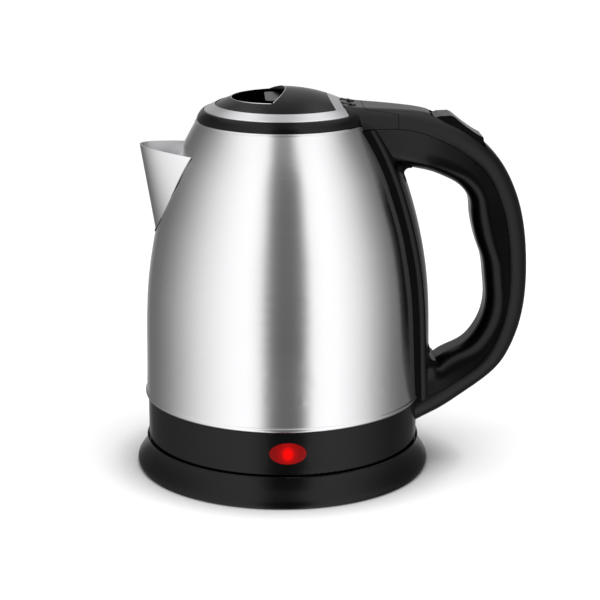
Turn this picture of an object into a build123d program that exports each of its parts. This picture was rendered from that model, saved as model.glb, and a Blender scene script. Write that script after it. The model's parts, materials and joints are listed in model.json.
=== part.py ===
from build123d import *
import math
import os

# Cordless electric kettle on its round power base.  Millimetres, +Z up.
# The origin is on the kettle's axis, where its rubber feet stand.
# The handle points to +X and the spout to -X.

# ---- driving dimensions ---------------------------------------------------
BASE_R = 80.0            # widest radius of the power base
RIM_R = 74.4             # outer radius of the raised rim round the jug
DECK_Z = 13.6            # top of the power base inside its rim
FOOT_GAP = 0.4           # the rubber feet hold the base's lower rim this high
SKIRT_R = 73.5           # black plastic skirt of the jug
SKIRT_Z = (14.6, 39.6)   # skirt, bottom and top
BEAD_R = 75.1            # rolled steel bead above the skirt
BEAD_Z = (39.9, 42.4)
STEEL = 0.8              # sheet thickness of the jug and spout
SHOULDER = (46.0, 189.2)  # radius and height where steel meets collar
DOME_TOP = 206.6         # highest point of the lid
DOME_R = 78.0            # the lid's top is part of a sphere of this radius
DOME_EDGE = 35.6         # black dome of the lid, outer radius
LID_R = 41.7             # silver lid ring, outer radius
LID_Z = 193.2            # underside of the lid's visible ring and dome
MOUTH_R = 42.0           # opening of the collar round the lid
SLEEVE_R = 40.8          # inside of the collar's sleeve
CHORD_X = 29.5           # rear edge of the lid on the middle plane
CHORD_SAG = 4.06         # how far that edge runs back at its ends
CHORD_HALF = 25.0        # half length of the rear edge
HINGE = (35.0, 197.0)    # lid hinge axis, x and z
ROCKER = (93.0, 178.5)   # rocker switch axis, x and z
LEVER = (82.6, 170.0)    # trip lever axis, x and z
LENS_Z = 28.3            # centre height of the indicator lens
WALL = 2.5               # moulded wall thickness of the handle
SEAM = 0.3               # width of the open seams between mouldings
PLUG_Z = (8.0, 20.4)     # jug half of the round connector

# Steel body, outer radius at a height: a near-straight wall under an ogive.
BODY_CURVE = [(74.35, 42.4), (73.85, 75.0), (72.7, 101.0), (70.0, 121.0),
              (66.9, 136.0), (62.5, 151.0), (57.5, 166.0), (51.6, 179.0), SHOULDER]

# Handle arm and grip: outer point, inner point, half width and corner radius
# of each cross-section, from the lid hinge round to the skirt.
ARM_SECTIONS = [
    ((24.0, 199.0), (24.0, 171.0), 23.6, 12.0),
    ((34.0, 198.7), (34.5, 170.0), 23.3, 12.0),
    ((44.0, 197.6), (45.0, 168.6), 22.6, 12.0),
    ((54.5, 196.9), (55.0, 167.2), 21.2, 12.0),
    ((65.0, 196.0), (64.0, 165.8), 19.6, 12.0),
    ((75.0, 194.5), (72.0, 164.3), 18.0, 11.5),
    ((84.8, 191.1), (79.6, 162.3), 16.8, 11.0),
    ((94.2, 186.4), (86.4, 159.4), 16.0, 10.5),
    ((103.0, 180.6), (92.4, 156.2), 15.4, 10.2),
    ((110.8, 174.0), (97.2, 151.6), 15.0, 10.0),
    ((117.4, 165.8), (100.0, 146.4), 14.8, 10.0),
    ((122.6, 156.2), (100.6, 141.4), 14.6, 10.0),
    ((126.6, 145.8), (101.2, 136.0), 14.5, 10.0),
    ((129.3, 134.8), (102.6, 129.4), 14.5, 10.0),
    ((130.9, 123.6), (104.8, 122.0), 14.5, 10.0),
    ((131.7, 112.2), (107.6, 114.0), 14.5, 10.0),
    ((131.8, 100.6), (109.0, 103.8), 14.5, 10.0),
    ((131.0, 89.2), (109.9, 93.4), 14.5, 10.0),
    ((128.8, 77.4), (108.6, 83.4), 14.5, 10.0),
    ((124.8, 66.0), (104.6, 74.4), 14.7, 10.0),
    ((118.8, 55.4), (98.4, 67.2), 14.9, 10.0),
    ((109.2, 46.2), (90.8, 63.2), 15.2, 10.0),
    ((97.8, 38.2), (84.6, 59.6), 15.8, 10.0),
    ((85.8, 30.6), (78.2, 57.4), 16.8, 10.0),
    ((70.0, 22.5), (66.0, 56.0), 18.0, 10.0),
]

# Parting line between handle body and handle cover, seen from the side.
PARTING = [(36.0, 187.4), (53.5, 187.6), (64.4, 186.8), (85.1, 179.3), (102.4, 167.5),
           (113.9, 151.3), (119.4, 131.2), (121.4, 107.0), (120.2, 86.6), (112.2, 66.0),
           (94.5, 48.0), (74.0, 38.3), (66.0, 35.5)]

LOW = (Align.CENTER, Align.CENTER, Align.MIN)
TOP = 400.0              # above everything, for cutting prisms


# ---- small helpers --------------------------------------------------------
def cyl(radius, z0, z1, x=0.0, y=0.0):
    """Upright round bar from z0 to z1."""
    return Pos(x, y, z0) * Cylinder(radius, z1 - z0, align=LOW)


def tube(outer, inner, z0, z1, x=0.0, y=0.0):
    """Upright round tube."""
    return cyl(outer, z0, z1, x, y) - cyl(inner, z0 - 1.0, z1 + 1.0, x, y)


def block(x0, x1, y0, y1, z0, z1):
    """Box between two corners."""
    centre = Pos((x0 + x1) / 2, (y0 + y1) / 2, (z0 + z1) / 2)
    return centre * Box(x1 - x0, y1 - y0, z1 - z0)


def rod_y(radius, y0, y1, x, z):
    """Round bar along Y."""
    return Pos(x, (y0 + y1) / 2, z) * Rot(90, 0, 0) * Cylinder(radius, y1 - y0)


def rod_x(radius, x0, x1, y, z):
    """Round bar along X."""
    return Pos((x0 + x1) / 2, y, z) * Rot(0, 90, 0) * Cylinder(radius, x1 - x0)


def spin(outline):
    """Solid of revolution about Z from a closed outline of radius and height."""
    return revolve(make_face(Plane.XZ * outline), Axis.Z)


def side_prism(outline, half_width, y=0.0):
    """Prism of a closed outline in x and z, centred on the plane at y."""
    face = make_face(Plane.XZ * outline)
    return Pos(0, y, 0) * extrude(face, half_width, both=True)


def ring_of(count, radius, start, shape):
    """Copies of a shape, evenly spaced on a circle about Z."""
    turns = [start + 360.0 * i / count for i in range(count)]
    return [Rot(0, 0, turn) * Pos(radius, 0, 0) * shape for turn in turns]


def joined(shapes):
    """One shape made of all the given ones."""
    total = shapes[0]
    for shape in shapes[1:]:
        total = total + shape
    return total


def pan_screw(head_r, head_h, shank_r, shank_h):
    """Cross-slotted screw pointing up, its head's seat at z = 0."""
    screw = cyl(head_r, -head_h, 0) + cyl(shank_r, 0, shank_h)
    slot = block(-head_r * 0.6, head_r * 0.6, -0.3, 0.3, -head_h - 1, -head_h * 0.5)
    return screw - slot - Rot(0, 0, 90) * slot


# ---- power base -----------------------------------------------------------
BASE_SCREWS = (3, 58.0, 30.0)      # count, circle radius, first angle
BASE_FEET = (4, 66.0, 45.0)


def base_shell():
    flare = Spline([(RIM_R, 15.2), (74.9, 11.6), (76.7, 8.3), (79.4, 4.4)])
    foot = ThreePointArc((79.4, 4.4), (BASE_R, 2.4), (79.5, FOOT_GAP))
    hollow = Polyline([(79.5, FOOT_GAP), (77.2, FOOT_GAP), (77.0, 4.0), (74.0, 8.2), (72.6, DECK_Z - 2.2),
                       (21.5, DECK_Z - 2.2), (21.5, DECK_Z), (73.4, DECK_Z), (73.85, 14.1),
                       (73.85, 15.6)])
    rim = ThreePointArc((73.85, 15.6), (74.2, 15.95), (RIM_R, 15.2))
    shell = spin(flare + foot + hollow + rim)
    posts = ring_of(*BASE_SCREWS, tube(3.5, 1.25, 3.2, DECK_Z - 2.2))
    inlet = rod_y(3.6, 70, 84, 0, 5.4) + block(-3.6, 3.6, 70, 84, 0, 5.4)
    return joined([shell - inlet] + posts)


def base_plate():
    plate = cyl(76.4, 1.2, 3.2)
    plate = plate - joined(ring_of(*BASE_FEET, cyl(6.05, 0, 2.2)))
    plate = plate - joined(ring_of(*BASE_SCREWS, cyl(3.0, 0, 2.4) + cyl(1.4, 0, 4)))
    slots = [Rot(0, 0, a) * block(18, 38, -1.2, 1.2, 0, 4) for a in range(15, 375, 60)]
    ring = tube(46.0, 44.0, 3.2, 6.0)
    return plate - joined(slots) + ring


def rubber_feet():
    foot = fillet(cyl(6.0, 0, 2.2).edges().sort_by(Axis.Z)[0], 0.6)
    return Compound(ring_of(*BASE_FEET, foot))


def base_screws():
    screw = Pos(0, 0, 2.4) * pan_screw(2.8, 1.1, 1.2, 7.0)
    return Compound(ring_of(*BASE_SCREWS, screw))


def base_socket():
    cup = tube(18.2, 16.0, 4.0, 9.4) + tube(24.0, 16.0, 9.4, 11.4) + tube(21.2, 16.0, 11.4, 15.6)
    floor = cyl(18.2, 4.0, 6.0)
    posts = tube(5.0, 2.4, 6.0, 15.2) + tube(11.0, 9.4, 6.0, 13.0)
    return cup + floor + posts


def socket_contacts():
    outer = [Rot(0, 0, a) * block(11.0, 12.2, -1.6, 1.6, 6.0, 12.4) for a in (20, 200)]
    inner = [Rot(0, 0, a) * block(8.3, 9.4, -1.3, 1.3, 6.0, 12.0) for a in (110, 290)]
    keep = tube(12.6, 8.2, 6.0, 13.0) - tube(11.0, 9.4, 5.0, 14.0)
    return Compound([leaf & keep for leaf in outer + inner])


def cord_clamp():
    bar = block(-10, 10, 60, 66, 3.2, 8.6)
    groove = rod_y(3.3, 58, 68, 0, 3.4)
    holes = cyl(1.4, 3, 9, -7.5, 63) + cyl(1.4, 3, 9, 7.5, 63)
    return bar - groove - holes


def clamp_screws():
    screw = Rot(180, 0, 0) * pan_screw(2.2, 1.2, 1.3, 5.2)
    return Compound([Pos(x, 63, 8.6) * screw for x in (-7.5, 7.5)])


# ---- jug half of the round connector --------------------------------------
def connector_plug():
    low, high = PLUG_Z
    disc = cyl(17.6, 18.0, high)
    skirts = tube(15.4, 13.4, low, 18.0) + tube(7.9, 5.6, low + 0.5, 18.0)
    return disc + skirts - cyl(2.0, low, 18.6)


def connector_rings():
    earth = cyl(2.0, 8.6, 18.6)
    live = tube(13.4, 12.7, 9.0, 18.0)
    return Compound([earth, live])


# ---- jug: steel, spout, skirt ---------------------------------------------
def body_outline(grow=0.0):
    """Curve of the steel wall, grown outwards by the given amount."""
    return Spline([(radius + grow, z) for radius, z in BODY_CURVE])


def jug_space(grow):
    """Everything inside the jug's outer surface, for trimming what wraps round it."""
    curve = body_outline(grow)
    bead = BEAD_R + grow
    rest = Polyline([(SHOULDER[0] + grow, SHOULDER[1]), (SHOULDER[0] + grow, 190.1), (0, 190.1),
                     (0, 10.0), (SKIRT_R + grow, 10.0), (SKIRT_R + grow, BEAD_Z[0] - grow),
                     (bead, BEAD_Z[0] - grow), (bead, BEAD_Z[1]), (BODY_CURVE[0][0] + grow, BEAD_Z[1])])
    return spin(curve + rest)


def strainer_holes():
    """Rows of round holes in the wall behind the spout, wider towards the top."""
    holes = []
    for row in range(4):
        z = 135.0 + 6.4 * row
        for i in range(row + 3):
            y = 5.4 * (i - (row + 2) / 2)
            holes.append(rod_x(1.9, -80, -40, y, z))
    return holes


def steel_body():
    radius, top = SHOULDER
    foot_r = 72.4
    outside = body_outline()
    inside = body_outline(-STEEL * 1.06)
    bead = ThreePointArc((74.3, BEAD_Z[0]), (BEAD_R, 41.1), BODY_CURVE[0])
    foot = Polyline([(BODY_CURVE[0][0] - STEEL * 1.06, BEAD_Z[1]), (foot_r - STEEL, 41.0),
                     (foot_r - STEEL, 36.0), (foot_r, 36.0), (foot_r, BEAD_Z[0]), (74.3, BEAD_Z[0])])
    lip = ThreePointArc(SHOULDER, (radius - 0.45, top + 0.62), (44.4, top + 0.8))
    neck = Polyline([(44.4, top + 0.8), (44.4, top), (radius - STEEL * 1.06, top)])
    wall = spin(outside + inside + bead + foot + lip + neck)
    steam_hole = rod_x(3.0, 40, 60, 0, 177)
    for hole in strainer_holes() + [steam_hole]:
        wall = wall - hole
    return wall


SPOUT_TIP = (-75.9, 177.1)
SPOUT_TOE = (-67.8, 128.0)


def spout_section(z, inset):
    """Parabolic section of the spout at a height, open towards the jug."""
    t = (SPOUT_TIP[1] - z) / (SPOUT_TIP[1] - SPOUT_TOE[1])
    nose = SPOUT_TIP[0] + (SPOUT_TOE[0] - SPOUT_TIP[0]) * t + inset
    half = 26.3 + (32.2 - 26.3) * t - 1.1 * inset
    end = -42.0
    arc = Bezier([(end, -half), (2 * nose - end, 0), (end, half)])
    return Pos(0, 0, z) * make_face(arc + Line((end, half), (end, -half)))


def spout():
    heights = (179.0, 127.0)
    outer = loft([spout_section(z, 0.0) for z in heights], ruled=True)
    inner = loft([spout_section(z, STEEL * 1.2) for z in heights], ruled=True)
    fall = math.degrees(math.atan2(3.2, 27.8))
    above = Pos(SPOUT_TIP[0], 0, SPOUT_TIP[1]) * Rot(0, fall, 0) * Box(200, 80, 40, align=LOW)
    skin = (outer - inner) - above - jug_space(0.05)
    return max(skin.solids(), key=lambda solid: solid.volume)


def heating_plate():
    return cyl(71.5, 37.2, 39.2) - joined(ring_of(2, 7.0, 0, cyl(1.1, 36, 38)))


def heating_element():
    ring = Pos(0, 0, 33.8) * Torus(44.0, 3.4)
    gap = Rot(0, 0, -90) * block(30, 60, -7, 7, 28, 38)
    return (ring - gap) - block(-60, 60, -60, 60, 37.2, 40)


def element_terminals():
    pins = [cyl(1.6, 22.0, 33.8, x, -44.0) for x in (-9.5, 9.5)]
    return Compound([pin - Pos(0, 0, 33.8) * Torus(44.0, 3.4) for pin in pins])


def control_body():
    body = cyl(22.0, 21.0, 29.0) + block(-13, 13, -30, 30, 22.5, 29.0)
    return body - joined(ring_of(2, 26.0, 90, cyl(1.6, 20, 30)))


def control_bimetals():
    return Compound([cyl(6.5, 29.0, 29.8, x, 0) + cyl(1.0, 29.8, 37.2, x, 0) for x in (-12.0, 12.0)])


COVER_SCREWS = (3, 60.0, 90.0)


def jug_skirt():
    low, high = SKIRT_Z
    heel = ThreePointArc((72.4, low), (73.2, 16.2), (SKIRT_R, 19.4))
    wall = Polyline([(SKIRT_R, 19.4), (SKIRT_R, high - 0.4), (SKIRT_R - 0.4, high), (72.5, high),
                     (72.5, 36.0), (71.0, 36.0), (71.0, low), (72.4, low)])
    shell = spin(heel + wall)
    posts = ring_of(*COVER_SCREWS, tube(3.6, 1.25, 18.4, 34.0) + block(3.4, 11.5, -1.2, 1.2, 19.0, 34.0))
    lens_hole = lens_oval(76.0, 68.0, 0.15)
    lead_hole = rod_x(4.4, 68, 76, 0, 30.3)
    return joined([shell] + posts) - lens_hole - lead_hole


def jug_base_cover():
    plate = cyl(70.6, 16.4, 18.4) - cyl(18.4, 16, 19)
    return plate - joined(ring_of(*COVER_SCREWS, cyl(3.0, 16, 17.4) + cyl(1.4, 16, 19)))


def cover_screws():
    screw = Pos(0, 0, 17.4) * pan_screw(2.8, 0.9, 1.2, 9.0)
    return Compound(ring_of(*COVER_SCREWS, screw))


def lens_oval(y_far, y_near, grow):
    """Upright oval bar along Y at the front of the skirt."""
    face = Plane.XZ * Pos(0, LENS_Z) * Ellipse(9.5 + grow, 5.75 + grow)
    return Pos(0, -y_near, 0) * extrude(face, y_far - y_near)


def indicator_lens():
    bulge = ThreePointArc((72.9, LENS_Z - 7), (74.3, LENS_Z), (72.9, LENS_Z + 7))
    back = Polyline([(72.9, LENS_Z + 7), (60, LENS_Z + 7), (60, LENS_Z - 7), (72.9, LENS_Z - 7)])
    dome = spin(bulge + back)
    lens = lens_oval(76.0, 69.6, 0.0) & dome
    flange = lens_oval(70.2, 68.4, 1.5)
    return lens + (flange & cyl(70.8, 10, 50))


def indicator_lamp():
    bulb = Pos(0, -66.0, LENS_Z) * Sphere(2.2) + Pos(0, -63.0, LENS_Z) * Rot(90, 0, 0) * Cylinder(2.2, 6)
    legs = [Pos(x, -57.5, LENS_Z) * Rot(90, 0, 0) * Cylinder(0.4, 5) for x in (-1.1, 1.1)]
    return joined([bulb] + legs)


# ---- plan of the lid ------------------------------------------------------
def lid_plan(radius, shift, corner):
    """Round plan cut off behind by a slightly curved edge, corners rounded."""
    end = CHORD_X + CHORD_SAG + shift
    rear = ThreePointArc((end, -CHORD_HALF), (CHORD_X + shift, 0), (end, CHORD_HALF))
    front = Polyline([(end, CHORD_HALF), (end, 60), (-60, 60), (-60, -60), (end, -60),
                      (end, -CHORD_HALF)])
    plan = Circle(radius) & make_face(rear + front)
    return fillet(plan.vertices().sort_by(Axis.X)[-2:], corner)


def lid_prism(radius, shift, corner, z0, z1):
    return Pos(0, 0, z0) * extrude(lid_plan(radius, shift, corner), z1 - z0)


def lid_top():
    """Solid under the lid's outer surface: domed inside, a cone outside."""
    centre = DOME_TOP - DOME_R
    edge = centre + math.sqrt(DOME_R ** 2 - DOME_EDGE ** 2)
    mid = centre + math.sqrt(DOME_R ** 2 - 18.0 ** 2)
    crown = ThreePointArc((0, DOME_TOP), (18.0, mid), (DOME_EDGE, edge))
    band = Polyline([(DOME_EDGE, edge), (DOME_EDGE + 0.4, edge + 0.35), (LID_R - 0.3, 195.6),
                     (LID_R, 195.3), (LID_R, LID_Z), (0, LID_Z), (0, DOME_TOP)])
    return spin(crown + band)


def sphere_below(drop):
    """Ball that ends the given distance under the dome's surface."""
    return Pos(0, 0, DOME_TOP - DOME_R) * Sphere(DOME_R - drop)


# ---- collar and handle ----------------------------------------------------
def arm(inset):
    """Solid of the handle's arm and grip, or of the space inside its walls."""
    sections = []
    for (xo, zo), (xi, zi), half, corner in ARM_SECTIONS:
        deep = math.hypot(xo - xi, zo - zi)
        ux = (xo - xi) / deep
        uz = (zo - zi) / deep
        middle = ((xo + xi) / 2, 0, (zo + zi) / 2)
        plane = Plane(origin=middle, x_dir=(ux, 0, uz), z_dir=(-uz, 0, ux))
        rect = RectangleRounded(deep - 2 * inset, 2 * (half - inset), corner - inset)
        sections.append(plane * rect)
    return loft(sections)


def inside_parting(gap):
    """Everything on the jug's side of the parting line, grown by a seam's width."""
    points = []
    for i, (x, z) in enumerate(PARTING):
        before = PARTING[max(i - 1, 0)]
        after = PARTING[min(i + 1, len(PARTING) - 1)]
        dx = after[0] - before[0]
        dz = after[1] - before[1]
        run = math.hypot(dx, dz)
        points.append((x - gap * dz / run, z + gap * dx / run))
    start, end = points[0], points[-1]
    closing = Polyline([end, (0, end[1]), (0, start[1]), start])
    return extrude(make_face(Plane.XZ * (Spline(points) + closing)), 40, both=True)


TONGUE = (42.2, 14.8)    # front end of the cover's tongue, and its half width
COVER_X = 60.0           # the cover's full width starts here


def tongue_prism(grow):
    """Plan of the cover's tongue on top of the collar's arm."""
    front, half = TONGUE
    plan = Pos((front + 70) / 2, 0) * RectangleRounded(70 - front + 2 * grow, 2 * (half + grow), 3.0)
    return Pos(0, 0, 193.3 - grow) * extrude(plan, 20) & block(0, COVER_X + 5, -40, 40, 0, TOP)


def hinge_spindle():
    """Room for the lid's rear edge to turn: the collar's lip stays inside this."""
    x, z = HINGE
    reach = x - CHORD_X - 0.45
    arc = ThreePointArc((-CHORD_HALF, reach - CHORD_SAG), (0, reach), (CHORD_HALF, reach - CHORD_SAG))
    rest = Polyline([(CHORD_HALF, reach - CHORD_SAG), (CHORD_HALF, 0), (-CHORD_HALF, 0),
                     (-CHORD_HALF, reach - CHORD_SAG)])
    half_plane = Plane(origin=(x, 0, z), x_dir=(0, 1, 0), z_dir=(1, 0, 0))
    return revolve(half_plane * make_face(arc + rest), Axis((x, 0, z), (0, 1, 0)))


def collar(outer_arm, inner_arm):
    rise = ThreePointArc((45.7, 190.1), (44.9, 192.4), (42.5, 195.2))
    sleeve = Polyline([(42.5, 195.2), (MOUTH_R, 195.2), (MOUTH_R, 192.3), (SLEEVE_R, 192.3),
                       (SLEEVE_R, 184.5), (43.9, 184.5), (43.9, 190.1), (45.7, 190.1)])
    ring = spin(rise + sleeve)
    root = outer_arm & block(20, COVER_X - SEAM, -40, 40, 187.0, TOP)
    root = root - inside_parting(SEAM) - jug_space(0.1)
    hollow = inner_arm & block(41.0, 80, -40, 40, 189.6, TOP)
    rear = cyl(MOUTH_R + 0.3, 184.5, 196.0) & block(20, 60, -40, 40, 0, TOP) & cyl(43.9, 184.5, 190.1)
    rear = rear + (cyl(MOUTH_R + 0.3, 190.1, 195.2) & block(20, 60, -40, 40, 0, TOP))
    body = ring + rear + root
    body = body - lid_prism(MOUTH_R, 0.4, 3.2, 192.3, TOP) - lid_prism(SLEEVE_R, -0.4, 3.2, 180, 193)
    body = body - hollow - tongue_prism(SEAM)
    x, z = HINGE
    body = body - (block(20, x, -40, 40, z, TOP) - hinge_spindle())
    for side in (-1, 1):
        body = body - block(25, x + 3.2, side * 6.5 - 2.9, side * 6.5 + 2.9, 190.8, TOP)
    body = body - rod_y(1.02, -13, 13, x, z)
    catch = block(-43.0, -40.0, -6.6, 6.6, 186.8, 190.0)
    holes = cyl(1.45, 180, 195, 54, -10) + cyl(1.45, 180, 195, 54, 10)
    body = body - catch - holes
    return max(body.solids(), key=lambda solid: solid.volume)


STRAP_SECTIONS = [(187.6, 24.6), (170.0, 25.6), (150.0, 26.6), (125.0, 27.6), (100.0, 27.6), (75.0, 26.0),
                  (56.0, 23.6), (42.4, 21.6), (34.0, 20.4)]      # height, half width
STRAP_PROUD = 5.7


def steel_radius(z):
    """Outer radius of the steel wall at a height, between the curve's points."""
    if z <= BODY_CURVE[0][1]:
        return BODY_CURVE[0][0]
    for (r0, z0), (r1, z1) in zip(BODY_CURVE, BODY_CURVE[1:]):
        if z <= z1:
            return r0 + (r1 - r0) * (z - z0) / (z1 - z0)
    return SHOULDER[0]


def strap():
    """Wide band that hugs the back of the jug inside the handle, its outer edges rounded."""
    sections = []
    for z, half in STRAP_SECTIONS:
        outer = steel_radius(z) + STRAP_PROUD
        side = math.sqrt(outer ** 2 - half ** 2)
        crown = ThreePointArc((side, -half), (outer, 0), (side, half))
        face = make_face(crown + Polyline([(side, half), (side - 18, half), (side - 18, -half), (side, -half)]))
        corners = face.vertices().sort_by(Axis.X)[-2:]
        sections.append(Pos(0, 0, z) * fillet(corners, 3.6))
    return loft(sections)


def corner_webs():
    """Rounded fillings between strap and arm, above and below the finger hole."""
    above = ThreePointArc((64.6, 160.6), (64.3, 164.0), (67.6, 165.2))
    above_rest = Polyline([(67.6, 165.2), (70, 168), (58, 168), (58, 158), (65.2, 158), (64.6, 160.6)])
    below = ThreePointArc((79.6, 63.6), (80.2, 59.7), (83.0, 58.8))
    below_rest = Polyline([(83.0, 58.8), (85.0, 56.0), (74.5, 54.0), (74.5, 67.0), (79.4, 67.0),
                           (79.6, 63.6)])
    return side_prism(above + above_rest, 12.0) + side_prism(below + below_rest, 12.0)


def handle_body(outer_arm, inner_arm):
    body = (outer_arm + strap() + corner_webs()) & inside_parting(0)
    body = body - jug_space(0.1)
    hollow = inner_arm & block(66.5, 140, -40, 40, 0, TOP)
    tunnel = rod_x(5.0, 40, 70, 0, 177)
    body = body - hollow - tunnel
    ribs = [block(x, x + 2, -10, 10, 140, 166.0) for x in (86, 95)]
    body = body + (outer_arm & ribs[0]) + (outer_arm & ribs[1])
    holes = cyl(1.45, 170, 195, 54, -10) + cyl(1.45, 170, 195, 54, 10)
    body = body - holes
    return max(body.solids(), key=lambda solid: solid.volume)


def handle_cover(outer_arm, inner_arm):
    cover = outer_arm & (block(COVER_X, 140, -40, 40, 0, TOP) + tongue_prism(0.0))
    cover = cover - inside_parting(SEAM) - inner_arm - jug_space(0.1)
    opening = block(77.6, 107.4, -9.9, 9.9, 172.0, TOP)
    cover = cover - opening
    return max(cover.solids(), key=lambda solid: solid.volume)


def handle_screws():
    screw = Rot(180, 0, 0) * pan_screw(2.8, 1.6, 1.4, 12.0)
    return Compound([Pos(54, y, 189.6) * screw for y in (-10, 10)])


# ---- steam switch ---------------------------------------------------------
def switch_rocker():
    x, z = ROCKER
    top = Polyline([(79.8, 190.2), (79.8, 191.7), (82.6, 192.6), (88.6, 192.8), (90.6, 191.8)])
    slope = ThreePointArc((90.6, 191.8), (96.6, 186.9), (103.6, 182.2))
    under = Polyline([(103.6, 182.2), (105.9, 181.0), (106.4, 178.0), (101.0, 176.6), (97.5, 177.4),
                      (89.5, 177.4), (84.0, 185.0), (79.8, 190.2)])
    body = side_prism(top + slope + under, 9.4)
    edges = body.edges().filter_by(GeomType.LINE).filter_by(Axis.Y).sort_by(Axis.Z)[-3:]
    body = fillet(edges, 0.8)
    tongue = block(x - 2, x + 2, -3, 3, 170.5, 178)
    return body + tongue - rod_y(1.25, -20, 20, x, z)


def switch_frame():
    x, z = ROCKER
    base = block(84, 99, -11.0, 11.0, 166.0, 167.6)
    frame = base
    for side in (-1, 1):
        ear = block(x - 2.2, x + 2.2, side * 10.6 - 0.8, side * 10.6 + 0.8, 167, z)
        frame = frame + ear + rod_y(2.2, side * 10.6 - 0.8, side * 10.6 + 0.8, x, z)
    for side in (-1, 1):
        frame = frame + block(81.4, 84.6, side * 6.2 - 0.8, side * 6.2 + 0.8, 167.0, 171.6)
    frame = frame + block(82.4, 85.0, -7.0, 7.0, 167.0, 167.6)
    return frame - rod_y(1.2, -20, 20, x, z) - rod_y(0.8, -8, 8, *LEVER)


def switch_pivot():
    return rod_y(1.2, -11.4, 11.4, *ROCKER)


def lever_pivot():
    return rod_y(0.8, -7.0, 7.0, *LEVER)


def switch_contacts():
    leaves = [block(87, 98, y - 1.5, y + 1.5, 167.6, 168.2) for y in (-6.5, 6.5)]
    points = [cyl(1.2, 168.2, 169.2, 96, y) for y in (-6.5, 6.5)]
    return Compound([leaf + point for leaf, point in zip(leaves, points)])


def trip_lever():
    x, z = LEVER
    bar = block(x - 0.7, x + 0.7, -4.5, 4.5, z, 182.0) + rod_y(1.6, -4.5, 4.5, x, z)
    return bar - rod_y(0.85, -8, 8, x, z)


def steam_bimetal():
    disc = rod_x(7.5, 72.0, 72.4, 0, 177)
    holder = rod_x(8.6, 71.2, 73.2, 0, 177) - rod_x(7.5, 70, 74, 0, 177)
    return disc + holder


LEAD_ROUTE = [(99.0, 160.4), (106.5, 154.0), (112.5, 144.5), (116.0, 133.0), (118.8, 119.0), (120.0, 104.0),
              (118.6, 88.0), (113.8, 73.0), (105.0, 60.0), (94.0, 48.0), (82.0, 38.5), (70.5, 30.5), (62.0, 27.5)]


def lead_radii():
    """Each bend as large as the two runs beside it allow."""
    radii = []
    for before, here, after in zip(LEAD_ROUTE, LEAD_ROUTE[1:], LEAD_ROUTE[2:]):
        a = Vector(here[0] - before[0], 0, here[1] - before[1])
        b = Vector(after[0] - here[0], 0, after[1] - here[1])
        turn = math.radians(a.get_angle(b))
        radii.append(0.45 * min(a.length, b.length) / math.tan(turn / 2))
    return radii


def switch_leads():
    radii = lead_radii()
    print("bend radii of the switch leads:", [round(r, 1) for r in radii])
    route = Plane.XZ * FilletPolyline(*LEAD_ROUTE, radius=radii)
    start = Plane(origin=route @ 0, z_dir=route % 0)
    return sweep(start * Circle(1.7), path=route)


# ---- lid ------------------------------------------------------------------
RECESS_R = 25.6          # finger recess: a round scoop in front of the hood
RECESS_X = -1.5
RECESS_FLOOR = 192.0
HOOD_X = 1.0             # hood edge on the middle plane; its ends run forward
HOOD_SAG = 7.5


def hood_front(gap):
    """Plan region in front of the hood's curved edge."""
    x = HOOD_X - gap
    edge = ThreePointArc((x - HOOD_SAG, -25.1), (x, 0), (x - HOOD_SAG, 25.1))
    rest = Polyline([(x - HOOD_SAG, 25.1), (x - HOOD_SAG, 40), (-60, 40), (-60, -40), (x - HOOD_SAG, -40),
                     (x - HOOD_SAG, -25.1)])
    return make_face(edge + rest)


def round_plan(grow, x_end):
    """Plan of the recess, grown by a wall and cut off under the hood."""
    disc = Pos(RECESS_X, 0) * Circle(RECESS_R + grow)
    cut = Pos(x_end - 50, 0) * Rectangle(100, 100)
    return disc & cut


def lid_cover():
    dome = lid_top() & lid_prism(DOME_EDGE, -6.4, 1.0, LID_Z, TOP)
    hollow = sphere_below(1.9) & lid_prism(DOME_EDGE - 2.0, -8.4, 1.0, LID_Z - 1, TOP)
    shell = dome - hollow
    tub = Pos(0, 0, RECESS_FLOOR - 1.6) * extrude(round_plan(1.6, 3.6), 20)
    tub = tub & sphere_below(0.5)
    tub = tub - Pos(0, 0, RECESS_FLOOR) * extrude(round_plan(0, 2.0), 20)
    body = shell + tub
    well = Pos(0, 0, RECESS_FLOOR) * extrude(round_plan(0, 2.0), 40) & sphere_below(1.9)
    mouth = Pos(0, 0, RECESS_FLOOR) * extrude((Pos(RECESS_X, 0) * Circle(RECESS_R)) & hood_front(0), 40)
    body = body - well - mouth
    slot = block(-2, 6, -15.6, 15.6, 199.3, 202.6)
    body = body - slot
    return max(body.solids(), key=lambda solid: solid.volume)


def lid_trim():
    ring = lid_top() & lid_prism(LID_R, 0, 3.0, LID_Z, TOP)
    return ring - lid_prism(DOME_EDGE + 0.3, -6.1, 1.2, LID_Z - 1, TOP)


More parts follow.
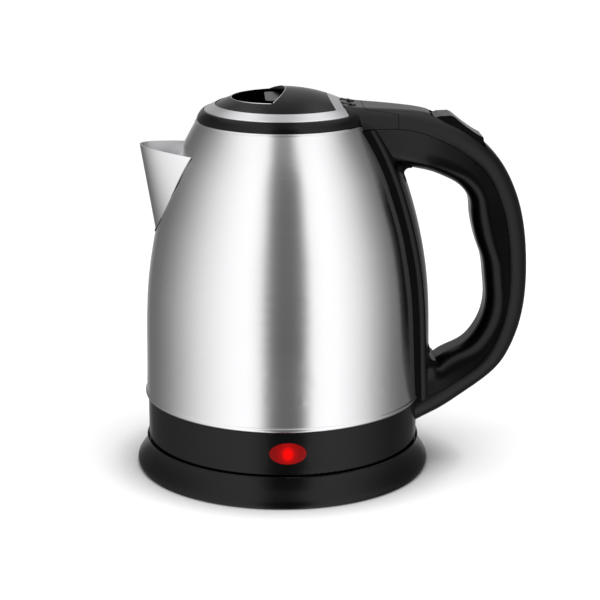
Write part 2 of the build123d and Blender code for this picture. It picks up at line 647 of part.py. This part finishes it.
def lid_inner():
    upper = lid_prism(39.4, -0.9, 3.0, 190.0, LID_Z)
    lower = lid_prism(38.4, -2.0, 3.0, 185.2, 190.0)
    hollow = lid_prism(36.6, -4.0, 3.0, 186.8, 191.6) + lid_prism(34.2, -8.0, 3.0, 191.0, TOP)
    cup = upper + lower - hollow
    cup = cup - block(-42, -34, -6.4, 6.4, 187.0, 189.8)
    post = block(18.4, 20.4, -4, 4, 186.8, 195.5)
    cup = cup + post
    x, z = HINGE
    for side in (-1, 1):
        y = side * 6.5
        link = side_prism(Polyline([(24.5, 191.6), (30.4, 191.6), (36.6, 195.0), (37.4, 196.6),
                                    (36.9, 198.5), (30.8, 198.8), (30.2, 197.6), (29.95, LID_Z),
                                    (24.5, LID_Z), (24.5, 191.6)]), 2.6, y)
        link = link - block(20, 29.95, -20, 20, LID_Z, TOP)
        cup = cup + link + rod_y(2.2, y - 2.6, y + 2.6, x, z)
    bosses = ring_of(4, 27.0, 45, cyl(2.6, 186.8, 189.6))
    cup = joined([cup] + bosses) - joined(ring_of(4, 27.0, 45, cyl(1.0, 185.0, 190)))
    return cup - rod_y(1.07, -12, 12, x, z)


def lid_seal():
    return lid_prism(40.3, -0.6, 3.0, 190.3, 191.5) - lid_prism(39.4, -0.9, 3.0, 190, 192)


def lid_plate():
    plate = lid_prism(36.5, -4.0, 3.0, 184.6, 185.2)
    return plate - joined(ring_of(4, 27.0, 45, cyl(1.1, 184, 186)))


def lid_screws():
    screw = Pos(0, 0, 184.6) * pan_screw(1.9, 0.8, 0.95, 4.6)
    return Compound(ring_of(4, 27.0, 45, screw))


def lid_latch():
    tab_plan = Rectangle(17.5, 30)
    tab_plan = Pos(-0.75, 0) * fillet(tab_plan.vertices().sort_by(Axis.X)[:2], 2.5)
    tab = Pos(0, 0, 199.8) * extrude(tab_plan, 2.2)
    stem = block(5.6, 8.0, -5.0, 5.0, 187.4, 202.0)
    bar = block(-39.6, 8.0, -5.6, 5.6, 187.4, 189.4)
    nose = Pos(-39.6, 0, 189.4) * Rot(0, 45, 0) * Box(2.0, 14, 2.0)
    return tab + stem + (bar - nose)


def latch_spring():
    turns = Helix(pitch=2.0, height=9.4, radius=2.3)
    wire = sweep(Plane(origin=turns @ 0, z_dir=turns % 0) * Circle(0.35), path=turns)
    return Pos(8.4, 0, 192.6) * Rot(0, 90, 0) * wire


def hinge_pin():
    return rod_y(1.0, -12.8, 12.8, *HINGE)


# ---- write every piece ----------------------------------------------------
def main():
    outer_arm = arm(0.0)
    inner_arm = arm(WALL)
    pieces = {
        "base_shell": base_shell(),
        "base_plate": base_plate(),
        "rubber_feet": rubber_feet(),
        "base_screws": base_screws(),
        "base_socket": base_socket(),
        "socket_contacts": socket_contacts(),
        "cord_clamp": cord_clamp(),
        "clamp_screws": clamp_screws(),
        "connector_plug": connector_plug(),
        "connector_rings": connector_rings(),
        "steel_body": steel_body(),
        "spout": spout(),
        "heating_plate": heating_plate(),
        "heating_element": heating_element(),
        "element_terminals": element_terminals(),
        "control_body": control_body(),
        "control_bimetals": control_bimetals(),
        "jug_skirt": jug_skirt(),
        "jug_base_cover": jug_base_cover(),
        "cover_screws": cover_screws(),
        "indicator_lens": indicator_lens(),
        "indicator_lamp": indicator_lamp(),
        "collar": collar(outer_arm, inner_arm),
        "handle_body": handle_body(outer_arm, inner_arm),
        "handle_cover": handle_cover(outer_arm, inner_arm),
        "handle_screws": handle_screws(),
        "switch_rocker": switch_rocker(),
        "switch_frame": switch_frame(),
        "switch_pivot": switch_pivot(),
        "lever_pivot": lever_pivot(),
        "switch_contacts": switch_contacts(),
        "trip_lever": trip_lever(),
        "steam_bimetal": steam_bimetal(),
        "switch_leads": switch_leads(),
        "lid_cover": lid_cover(),
        "lid_trim": lid_trim(),
        "lid_inner": lid_inner(),
        "lid_seal": lid_seal(),
        "lid_plate": lid_plate(),
        "lid_screws": lid_screws(),
        "lid_latch": lid_latch(),
        "latch_spring": latch_spring(),
        "hinge_pin": hinge_pin(),
    }
    os.makedirs("parts", exist_ok=True)
    for name, shape in pieces.items():
        export_step(shape, f"parts/{name}.step")


main()
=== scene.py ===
import json
import math

import bmesh
import bpy
from mathutils import Matrix, Vector


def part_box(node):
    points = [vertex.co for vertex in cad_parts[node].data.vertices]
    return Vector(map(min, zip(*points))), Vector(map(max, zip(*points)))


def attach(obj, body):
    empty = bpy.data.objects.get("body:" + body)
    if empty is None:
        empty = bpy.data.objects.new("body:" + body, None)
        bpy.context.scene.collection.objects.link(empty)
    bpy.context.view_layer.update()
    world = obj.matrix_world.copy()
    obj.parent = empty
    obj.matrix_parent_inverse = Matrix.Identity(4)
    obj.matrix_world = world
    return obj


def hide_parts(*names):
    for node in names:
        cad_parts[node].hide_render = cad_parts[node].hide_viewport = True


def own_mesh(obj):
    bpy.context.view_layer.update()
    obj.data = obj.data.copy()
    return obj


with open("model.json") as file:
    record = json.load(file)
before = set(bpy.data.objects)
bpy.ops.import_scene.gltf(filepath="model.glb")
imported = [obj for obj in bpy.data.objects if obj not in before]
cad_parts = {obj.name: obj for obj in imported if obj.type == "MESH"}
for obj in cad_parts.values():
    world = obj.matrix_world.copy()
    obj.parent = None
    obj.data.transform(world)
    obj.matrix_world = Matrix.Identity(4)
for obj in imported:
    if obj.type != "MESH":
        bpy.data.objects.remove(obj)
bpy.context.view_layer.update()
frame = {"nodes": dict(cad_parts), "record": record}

MM = 0.001

# ---- camera -----------------------------------------------------------------
CAMERA_AT = Vector((-0.036661, -0.977299, 0.359389))
CAMERA_RIGHT = Vector((0.998924, -0.046280, 0.003009))
CAMERA_UP = Vector((0.009377, 0.265077, 0.964182))
CAMERA_BACK = -Vector((0.045419, 0.963116, -0.265225))
SENSOR_MM = 36.0
LENS_MM = 111.90

# ---- studio sizes, in metres and watts ----------------------------------------
LAMP_AT = (0.25, -0.25, 1.7)
LAMP_SIZE = 2.4
LAMP_POWER = 24.0
FLOOR_RADIUS = 6.0
FLOOR_FADE = (0.45, 1.6)     # radii between which the floor melts into white
PAINTED_SHADOW_REACH = 0.035        # how far the painted contact shadow darkens the floor round the base
TENT_TURN = math.radians(2.7)
TENT_STRENGTH = 2.0
WHITE_STRENGTH = 1.05
BACKDROP = (0.21, 0.21, 0.21, 1)


def make_camera():
    data = bpy.data.cameras.new("camera")
    data.sensor_width = SENSOR_MM
    data.lens = LENS_MM
    data.clip_start = 0.01
    data.clip_end = 50.0
    camera = bpy.data.objects.new("camera", data)
    bpy.context.scene.collection.objects.link(camera)
    turn = Matrix((CAMERA_RIGHT, CAMERA_UP, CAMERA_BACK)).transposed()
    camera.matrix_world = Matrix.Translation(CAMERA_AT) @ turn.to_4x4()
    bpy.context.scene.camera = camera


# ---- node helpers -----------------------------------------------------------
class Tree:
    """A thin wrapper that keeps node code short."""

    def __init__(self, owner):
        owner.use_nodes = True
        self.nodes = owner.node_tree.nodes
        self.links = owner.node_tree.links
        self.nodes.clear()

    def add(self, kind, feeds=None, **settings):
        node = self.nodes.new(kind)
        for key, value in settings.items():
            setattr(node, key, value)
        for key, value in (feeds or {}).items():
            socket = node.inputs[key]
            if isinstance(value, bpy.types.NodeSocket):
                self.links.new(value, socket)
            else:
                socket.default_value = value
        return node

    def math(self, operation, a, b=0.0):
        return self.add("ShaderNodeMath", {0: a, 1: b}, operation=operation).outputs[0]

    def ramp(self, value, stops, smooth="EASE"):
        node = self.add("ShaderNodeValToRGB", {0: value})
        ramp = node.color_ramp
        ramp.interpolation = smooth
        while len(ramp.elements) < len(stops):
            ramp.elements.new(0.5)
        for element, stop in zip(ramp.elements, stops):
            element.position = stop[0]
        for element, stop in zip(ramp.elements, stops):
            colour = stop[1] if isinstance(stop[1], tuple) else (stop[1],) * 3
            element.color = (*colour, 1.0)
        return node.outputs[0]

    def noise(self, vector, scale, detail=2.0, roughness=0.5):
        node = self.add("ShaderNodeTexNoise", {"Vector": vector, "Scale": scale, "Detail": detail,
                                               "Roughness": roughness})
        return node.outputs[0]

    def span(self, value, low, high, start=0.0, end=1.0):
        node = self.add("ShaderNodeMapRange", {0: value, 1: start, 2: end, 3: low, 4: high})
        return node.outputs[0]

    def mix(self, share, a, b):
        node = self.add("ShaderNodeMix", {0: share, 6: a, 7: b}, data_type="RGBA")
        return node.outputs[2]


# ---- studio -----------------------------------------------------------------
# Brightness of the soft tent round the object, by the angle from the camera's side.
TENT = [(-180, 0.55), (-163, 0.40), (-150, 0.16), (-128, 0.20), (-112, 0.32), (-99, 0.48), (-88, 0.66),
        (-78, 0.84), (-68, 1.02), (-59, 1.14), (-50, 1.26), (-40, 1.36), (-27, 1.40), (-19, 1.20),
        (-12, 0.40), (-7, 0.18), (-1, 0.15), (8, 0.15), (15, 0.18), (20, 0.52), (25, 1.32), (35, 1.40),
        (47, 1.38), (62, 1.14), (72, 0.92), (82, 0.66), (92, 0.44), (104, 0.26), (118, 0.18),
        (150, 0.15), (163, 0.40), (180, 0.55)]


def make_world():
    world = bpy.data.worlds.new("studio")
    bpy.context.scene.world = world
    tree = Tree(world)
    way = tree.add("ShaderNodeTexCoord").outputs["Generated"]
    turned = tree.add("ShaderNodeMapping", {"Vector": way, "Rotation": (0, 0, TENT_TURN)})
    parts = tree.add("ShaderNodeSeparateXYZ", {0: turned.outputs[0]})
    x, y, z = parts.outputs
    around = tree.math("ARCTAN2", x, tree.math("MULTIPLY", y, -1.0))
    place = tree.span(around, 0.0, 1.0, -math.pi, math.pi)
    stops = [((angle + 180) / 360, level / TENT_STRENGTH) for angle, level in TENT]
    tent = tree.ramp(place, stops, "LINEAR")
    # Above the horizon behind the object stands a dimmer, even backdrop.
    behind = tree.span(y, 0.0, 1.0, 0.80, 0.95)
    above = tree.span(z, 0.0, 1.0, 0.02, 0.15)
    backdrop = tree.math("MULTIPLY", behind, above)
    # Two soft boxes overhead, with a gap between them along the line of sight.
    aside = tree.math("ABSOLUTE", x)
    boxes = tree.ramp(aside, [(0.0, 0.20), (0.10, 0.22), (0.26, 0.62), (0.6, 0.66), (1.0, 0.5)], "EASE")
    high = tree.span(z, 0.0, 1.0, 0.55, 0.85)
    level = tree.mix(backdrop, tent, BACKDROP)
    level = tree.mix(high, level, boxes)
    light = tree.add("ShaderNodeBackground", {"Color": level, "Strength": TENT_STRENGTH})
    white = tree.add("ShaderNodeBackground", {"Color": (1, 1, 1, 1), "Strength": WHITE_STRENGTH})
    seen = tree.add("ShaderNodeLightPath").outputs["Is Camera Ray"]
    both = tree.add("ShaderNodeMixShader", {0: seen, 1: light.outputs[0], 2: white.outputs[0]})
    tree.add("ShaderNodeOutputWorld", {"Surface": both.outputs[0]})


def make_lights():
    data = bpy.data.lights.new("top_box", "AREA")
    data.shape = "DISK"
    data.size = LAMP_SIZE
    data.energy = LAMP_POWER
    lamp = bpy.data.objects.new("top_box", data)
    lamp.location = LAMP_AT
    bpy.context.scene.collection.objects.link(lamp)
    lamp.visible_glossy = False


def make_floor():
    mesh = bpy.data.meshes.new("floor")
    shape = bmesh.new()
    bmesh.ops.create_circle(shape, cap_ends=True, segments=96, radius=FLOOR_RADIUS)
    shape.to_mesh(mesh)
    shape.free()
    floor = bpy.data.objects.new("floor", mesh)
    bpy.context.scene.collection.objects.link(floor)
    material = bpy.data.materials.new("floor")
    tree = Tree(material)
    place = tree.add("ShaderNodeTexCoord").outputs["Object"]
    cloud = tree.noise(place, 3.0, 3.0)
    # Painted contact shadow: an ambient-occlusion mask darkens the floor's colour where the base stands
    # on it.
    around = tree.add("ShaderNodeAmbientOcclusion", {"Distance": PAINTED_SHADOW_REACH}, samples=12)
    painted_contact_shade = around.outputs["AO"]
    dim = tree.span(painted_contact_shade, 0.42, 1.0, 0.45, 0.92)
    shade = tree.math("MULTIPLY", tree.span(cloud, 0.92, 0.96, 0.3, 0.7), dim)
    surface = tree.add("ShaderNodeBsdfDiffuse", {"Color": shade})
    # Far from the object the floor melts into the white background.
    away = tree.add("ShaderNodeVectorMath", {0: place}, operation="LENGTH").outputs["Value"]
    fade = tree.span(away, 0.0, 1.0, *FLOOR_FADE)
    clear = tree.add("ShaderNodeBsdfTransparent", {"Color": (1, 1, 1, 1)})
    both = tree.add("ShaderNodeMixShader", {0: fade, 1: surface.outputs[0], 2: clear.outputs[0]})
    tree.add("ShaderNodeOutputMaterial", {"Surface": both.outputs[0]})
    mesh.materials.append(material)
    floor.visible_glossy = False


# ---- materials --------------------------------------------------------------
def plastic(name, colour, roughness, grain=2600.0, depth=0.000012, specular=0.24):
    """Moulded plastic: spark-eroded grain, faint flow clouds and rubbed edges."""
    material = bpy.data.materials.new(name)
    tree = Tree(material)
    place = tree.add("ShaderNodeTexCoord").outputs["Object"]
    fine = tree.noise(place, grain, 2.0)
    cloud = tree.noise(place, 38.0, 3.0)
    light = tuple(min(1.0, c * 1.35 + 0.0002) for c in colour)
    tint = tree.mix(tree.span(cloud, 0.0, 1.0, 0.35, 0.7), (*colour, 1), (*light, 1))
    edge = tree.add("ShaderNodeNewGeometry").outputs["Pointiness"]
    rub = tree.span(edge, 0.0, 1.0, 0.52, 0.62)
    worn = tuple(min(1.0, c * 1.6 + 0.001) for c in colour)
    tint = tree.mix(tree.math("MULTIPLY", rub, 0.5), tint, (*worn, 1))
    rough = tree.math("ADD", tree.span(cloud, roughness - 0.03, roughness + 0.04),
                      tree.span(fine, -0.03, 0.03))
    bump = tree.add("ShaderNodeBump", {"Height": fine, "Strength": 0.6, "Distance": depth})
    surface = tree.add("ShaderNodeBsdfPrincipled", {
        "Base Color": tint, "Roughness": rough, "Specular IOR Level": specular,
        "Normal": bump.outputs[0]})
    tree.add("ShaderNodeOutputMaterial", {"Surface": surface.outputs[0]})
    return material


def brushed(name, colour, roughness, lines=9000.0, depth=0.000004):
    """Steel with fine level lines that run round the upright axis."""
    material = bpy.data.materials.new(name)
    tree = Tree(material)
    place = tree.add("ShaderNodeTexCoord").outputs["Object"]
    parts = tree.add("ShaderNodeSeparateXYZ", {0: place})
    x, y, z = parts.outputs
    across = tree.math("ARCTAN2", y, tree.math("MULTIPLY", x, -1.0))
    lines_at = tree.add("ShaderNodeCombineXYZ", {
        0: tree.math("MULTIPLY", across, 0.98), 1: tree.math("MULTIPLY", z, lines), 2: 0.0})
    line = tree.noise(lines_at.outputs[0], 1.0, 4.0, 0.65)
    broad_at = tree.add("ShaderNodeCombineXYZ", {
        0: tree.math("MULTIPLY", across, 0.588), 1: tree.math("MULTIPLY", z, lines * 0.12), 2: 4.0})
    broad = tree.noise(broad_at.outputs[0], 1.0, 3.0, 0.6)
    cloud = tree.noise(place, 26.0, 2.0)
    both = tree.math("ADD", tree.math("MULTIPLY", line, 0.8), tree.math("MULTIPLY", broad, 0.2))
    dim = tuple(c * 0.94 for c in colour)
    tint = tree.mix(tree.span(both, 0.0, 1.0, 0.3, 0.7), (*dim, 1), (*colour, 1))
    rough = tree.math("ADD", tree.span(both, roughness - 0.04, roughness + 0.05, 0.3, 0.7),
                      tree.span(cloud, -0.015, 0.02, 0.3, 0.7))
    bump = tree.add("ShaderNodeBump", {"Height": both, "Strength": 0.35, "Distance": depth})
    tangent = tree.add("ShaderNodeTangent", direction_type="RADIAL", axis="Z")
    surface = tree.add("ShaderNodeBsdfPrincipled", {
        "Base Color": tint, "Metallic": 1.0, "Roughness": rough, "Normal": bump.outputs[0],
        "Anisotropic": 0.5, "Anisotropic Rotation": 0.25, "Tangent": tangent.outputs[0]})
    tree.add("ShaderNodeOutputMaterial", {"Surface": surface.outputs[0]})
    return material


def metal(name, colour, roughness, grain=700.0):
    """Plain metal with faint tool marks and tarnish."""
    material = bpy.data.materials.new(name)
    tree = Tree(material)
    place = tree.add("ShaderNodeTexCoord").outputs["Object"]
    marks = tree.noise(place, grain, 5.0, 0.6)
    cloud = tree.noise(place, 90.0, 2.0)
    dim = tuple(c * 0.78 for c in colour)
    tint = tree.mix(tree.span(cloud, 0.0, 1.0, 0.3, 0.7), (*dim, 1), (*colour, 1))
    rough = tree.span(marks, roughness - 0.06, roughness + 0.08, 0.3, 0.7)
    bump = tree.add("ShaderNodeBump", {"Height": marks, "Strength": 0.3, "Distance": 0.00001})
    surface = tree.add("ShaderNodeBsdfPrincipled", {
        "Base Color": tint, "Metallic": 1.0, "Roughness": rough, "Normal": bump.outputs[0]})
    tree.add("ShaderNodeOutputMaterial", {"Surface": surface.outputs[0]})
    return material


def lit_lens(name, centre):
    """Translucent red lens: a bright core where the lamp sits, fading to deep red."""
    core_x, core_z = 0.0068, 0.0085
    material = bpy.data.materials.new(name)
    tree = Tree(material)
    place = tree.add("ShaderNodeTexCoord").outputs["Object"]
    parts = tree.add("ShaderNodeSeparateXYZ", {0: place})
    x = tree.math("MULTIPLY", tree.math("SUBTRACT", parts.outputs[0], centre[0]), 1 / core_x)
    z = tree.math("MULTIPLY", tree.math("SUBTRACT", parts.outputs[2], centre[2]), 1 / core_z)
    squares = tree.math("ADD", tree.math("MULTIPLY", x, x), tree.math("MULTIPLY", z, z))
    far = tree.math("POWER", squares, 0.5)
    ribs = tree.noise(place, 1500.0, 2.0)
    far = tree.math("ADD", far, tree.span(ribs, -0.06, 0.06))
    glow = tree.ramp(far, [(0.0, (1.0, 0.0, 0.0)), (0.22, (0.82, 0.0, 0.0)), (0.60, (0.27, 0.002, 0.002)),
                           (1.0, (0.16, 0.002, 0.002))], "EASE")
    rough = tree.span(ribs, 0.10, 0.2)
    surface = tree.add("ShaderNodeBsdfPrincipled", {
        "Base Color": (0.06, 0.001, 0.001, 1), "Roughness": rough, "Emission Color": glow,
        "Specular IOR Level": 0.15, "Emission Strength": 1.1, "Coat Weight": 0.1, "Coat Roughness": 0.08})
    tree.add("ShaderNodeOutputMaterial", {"Surface": surface.outputs[0]})
    return material




def dress():
    """Gives every CAD node the material of its slot."""
    low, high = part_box("indicator_lens")
    lens_at = [(a + b) / 2 for a, b in zip(low, high)]
    made = {
        "steel": brushed("steel", (0.76, 0.76, 0.77), 0.21, depth=0.000002),
        "steel_inner": brushed("steel_inner", (0.62, 0.62, 0.63), 0.32, lines=4000.0),
        "trim_silver": brushed("trim_silver", (0.90, 0.90, 0.92), 0.33, lines=3000.0, depth=0.000002),
        "black_satin": plastic("black_satin", (0.0007, 0.0007, 0.0007), 0.19),
        "black_base": plastic("black_base", (0.0007, 0.0007, 0.0007), 0.20),
        "black_inner": plastic("black_inner", (0.004, 0.004, 0.0042), 0.45),
        "white_nylon": plastic("white_nylon", (0.62, 0.60, 0.55), 0.45),
        "lens_red": lit_lens("lens_red", lens_at),
        "lamp_glass": plastic("lamp_glass", (0.8, 0.25, 0.12), 0.1),
        # Dark weld metal: its dark colour paints the shade line where the spout meets the jug, and the
        # shade of the groove over the bottom bead.
        "weld": metal("weld", (0.06, 0.06, 0.06), 0.35),
        "brass": metal("brass", (0.72, 0.50, 0.22), 0.3),
        "screw_steel": metal("screw_steel", (0.55, 0.55, 0.56), 0.3),
        "spring_steel": metal("spring_steel", (0.6, 0.6, 0.61), 0.25),
        "rubber": plastic("rubber", (0.004, 0.004, 0.004), 0.7, grain=900.0, depth=0.00004),
        "silicone": plastic("silicone", (0.42, 0.42, 0.41), 0.5),
        "aluminium": metal("aluminium", (0.66, 0.66, 0.67), 0.4),
        "lead_blue": plastic("lead_sleeve", (0.7, 0.7, 0.66), 0.6, grain=1200.0, depth=0.00006),
    }
    for sub in frame["record"]["subparts"]:
        node = frame["nodes"][sub["node"]]
        node.data.materials.clear()
        node.data.materials.append(made[sub["material_slot"]])
    return made


# ---- fine pieces ------------------------------------------------------------
def smooth_path(points, steps=8):
    """Points along a rounded line through the given ones."""
    path = []
    ends = [points[0]] + points + [points[-1]]
    for before, start, end, after in zip(ends, ends[1:], ends[2:], ends[3:]):
        for i in range(steps):
            t = i / steps
            path.append(0.5 * (2 * start + (end - before) * t
                               + (2 * before - 5 * start + 4 * end - after) * t ** 2
                               + (3 * start - before - 3 * end + after) * t ** 3))
    path.append(points[-1])
    return path


def add_piece(name, shape, material, body):
    """Turns a bmesh into a smooth piece that rides on a body."""
    mesh = bpy.data.meshes.new(name)
    bmesh.ops.recalc_face_normals(shape, faces=shape.faces)
    shape.to_mesh(mesh)
    shape.free()
    mesh.shade_smooth()
    mesh.materials.append(material)
    piece = bpy.data.objects.new(name, mesh)
    bpy.context.scene.collection.objects.link(piece)
    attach(piece, body)
    return piece


def add_wire(name, path, radius, material, body, closed=False):
    """A thin round bead along a path."""
    sides = 10
    shape = bmesh.new()
    rings = []
    count = len(path)
    side = Vector((0.3, 0.4, 0.86))
    for i, at in enumerate(path):
        if closed:
            along = path[(i + 1) % count] - path[i - 1]
        else:
            along = path[min(i + 1, count - 1)] - path[max(i - 1, 0)]
        along.normalize()
        side = (side - side.dot(along) * along).normalized()
        other = along.cross(side)
        ring = []
        for k in range(sides):
            turn = math.tau * k / sides
            ring.append(shape.verts.new(at + radius * (math.cos(turn) * side + math.sin(turn) * other)))
        rings.append(ring)
    for i in range(count if closed else count - 1):
        near, far = rings[i], rings[(i + 1) % count]
        for k in range(sides):
            shape.faces.new((near[k], near[(k + 1) % sides], far[(k + 1) % sides], far[k]))
    if not closed:
        shape.faces.new(rings[0])
        shape.faces.new(rings[-1])
    return add_piece(name, shape, material, body)


def on_top(node, x, y):
    """The point of a node's upper surface straight over x and y."""
    over = Vector((x, y, 0.4))
    return frame["nodes"][node].ray_cast(over, Vector((0, 0, -1)))[1]


# Where the spout's sheet meets the jug, from the mouth down to the tip, in mm.
WELD = [(-48.1, 25.1, 173.7), (-51.6, 23.9, 167.0), (-55.5, 22.3, 159.7), (-59.9, 17.9, 150.3),
        (-63.8, 13.7, 141.5), (-66.4, 9.6, 135.2)]
WELD_TIP = (-68.6, 0.0, 129.6)


def add_weld_and_shade_line(made):
    near = [Vector((x, -y, z)) * MM for x, y, z in WELD]
    far = [Vector((x, y, z)) * MM for x, y, z in reversed(WELD)]
    path = smooth_path(near + [Vector(WELD_TIP) * MM] + far)
    # The weld bead is real; its dark colour is painted shade along the spout's joint.
    add_wire("spout_weld_shade_line", path, 0.30 * MM, made["weld"], "jug")


def add_ring(name, z, radius, material):
    """A bead round the steel body at a height."""
    front = Vector((0, -0.2, z))
    reach = -frame["nodes"]["steel_body"].ray_cast(front, Vector((0, 1, 0)))[1].y
    count = 160
    turns = [math.tau * i / count for i in range(count)]
    path = [Vector((reach * math.cos(turn), reach * math.sin(turn), z)) for turn in turns]
    add_wire(name, path, radius, material, "jug", closed=True)


def add_steel_edges(made):
    """Rolled edge under the black collar, and a dark wire over the bead at the bottom that paints the
    shade of a groove there.
    """
    add_ring("mouth_bead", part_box("collar")[0].z + 4.3 * MM, 0.35 * MM, made["steel"])
    # Painted shade: a dark wire along the top of the bottom bead stands in for the shadow line of a
    # groove.
    add_ring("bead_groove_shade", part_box("steel_body")[0].z + 2.9 * MM, 0.22 * MM, made["weld"])


def add_painted_rim_highlights(made):
    """Painted highlights: fine bright silver wires round the finger recess and along the hood's edge
    stand in for edge highlights on the black plastic.
    """
    wire = 0.22 * MM
    middle, radius = -1.5 * MM, 25.9 * MM
    first, last, count = 102.0, 258.0, 60
    rim = []
    for i in range(count + 1):
        turn = math.radians(first + (last - first) * i / count)
        rim.append(on_top("lid_cover", middle + radius * math.cos(turn), radius * math.sin(turn)))
    # Painted highlight: this silver wire along the recess rim stands in for the plastic's edge highlight.
    add_wire("recess_rim_highlight", rim, wire, made["trim_silver"], "lid")
    # The hood's edge is an arc 50.2 mm across whose middle stands 7.5 mm further back.
    half, sag = 25.1 * MM, 7.5 * MM
    bend = (half ** 2 + sag ** 2) / (2 * sag)
    edge = []
    for i in range(count + 1):
        y = half * (2 * i / count - 1) * 0.985
        x = 1.35 * MM - (bend - math.sqrt(bend ** 2 - y ** 2))
        edge.append(on_top("lid_cover", x, y))
    # Painted highlight: this silver wire along the hood's edge stands in for the plastic's edge
    # highlight.
    add_wire("hood_edge_highlight", edge, wire, made["trim_silver"], "lid")


def add_latch_spring(made):
    """Coil spring behind the latch, built to the CAD spring's size and carried by the lid; the real
    spring shortens as the latch is pulled.
    """
    low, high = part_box("latch_spring")
    middle = (low + high) / 2
    wire = 0.3 * MM
    turns, steps = 7, 14
    coil = (high.z - low.z) / 2 - wire
    path = []
    for i in range(turns * steps + 1):
        share = i / (turns * steps)
        turn = math.tau * turns * share
        path.append(Vector((low.x + wire + (high.x - low.x - 2 * wire) * share,
                            middle.y + coil * math.cos(turn), middle.z + coil * math.sin(turn))))
    spring = add_wire("latch_coil", path, wire, made["spring_steel"], "lid")
    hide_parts("latch_spring")
    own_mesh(spring)


# Middle line of the grip's hollow and the way across it, in mm, at its sections.
RIB = [((104.1, 162.8), (12.4, 22.4)), ((108.7, 156.1), (17.4, 19.4)), ((111.6, 148.8), (22.0, 14.8)),
       ((113.9, 140.9), (25.4, 9.8)), ((115.95, 132.1), (26.7, 5.4)), ((117.85, 122.8), (26.1, 1.6))]


def add_rib(made):
    """Rib inside the grip that closes the view through the seam of its two halves."""
    half, near_y, far_y = 9.0 * MM, 7.5 * MM, 8.3 * MM
    corners = ((-1, near_y), (1, near_y), (1, far_y), (-1, far_y))
    shape = bmesh.new()
    rows = []
    for (x, z), (dx, dz) in RIB:
        across = Vector((dx, 0, dz)).normalized() * half
        middle = Vector((x, 0, z)) * MM
        rows.append([shape.verts.new(middle + across * end + Vector((0, y, 0))) for end, y in corners])
    for near, far in zip(rows, rows[1:]):
        for k in range(4):
            shape.faces.new((near[k], near[(k + 1) % 4], far[(k + 1) % 4], far[k]))
    shape.faces.new(rows[0])
    shape.faces.new(rows[-1])
    add_piece("grip_rib", shape, made["black_inner"], "jug")


make_camera()
make_world()
make_lights()
make_floor()
materials = dress()
add_weld_and_shade_line(materials)
add_steel_edges(materials)
add_painted_rim_highlights(materials)
add_rib(materials)
add_latch_spring(materials)
bpy.context.scene.view_settings.view_transform = "Standard"
bpy.context.scene.view_settings.look = "None"
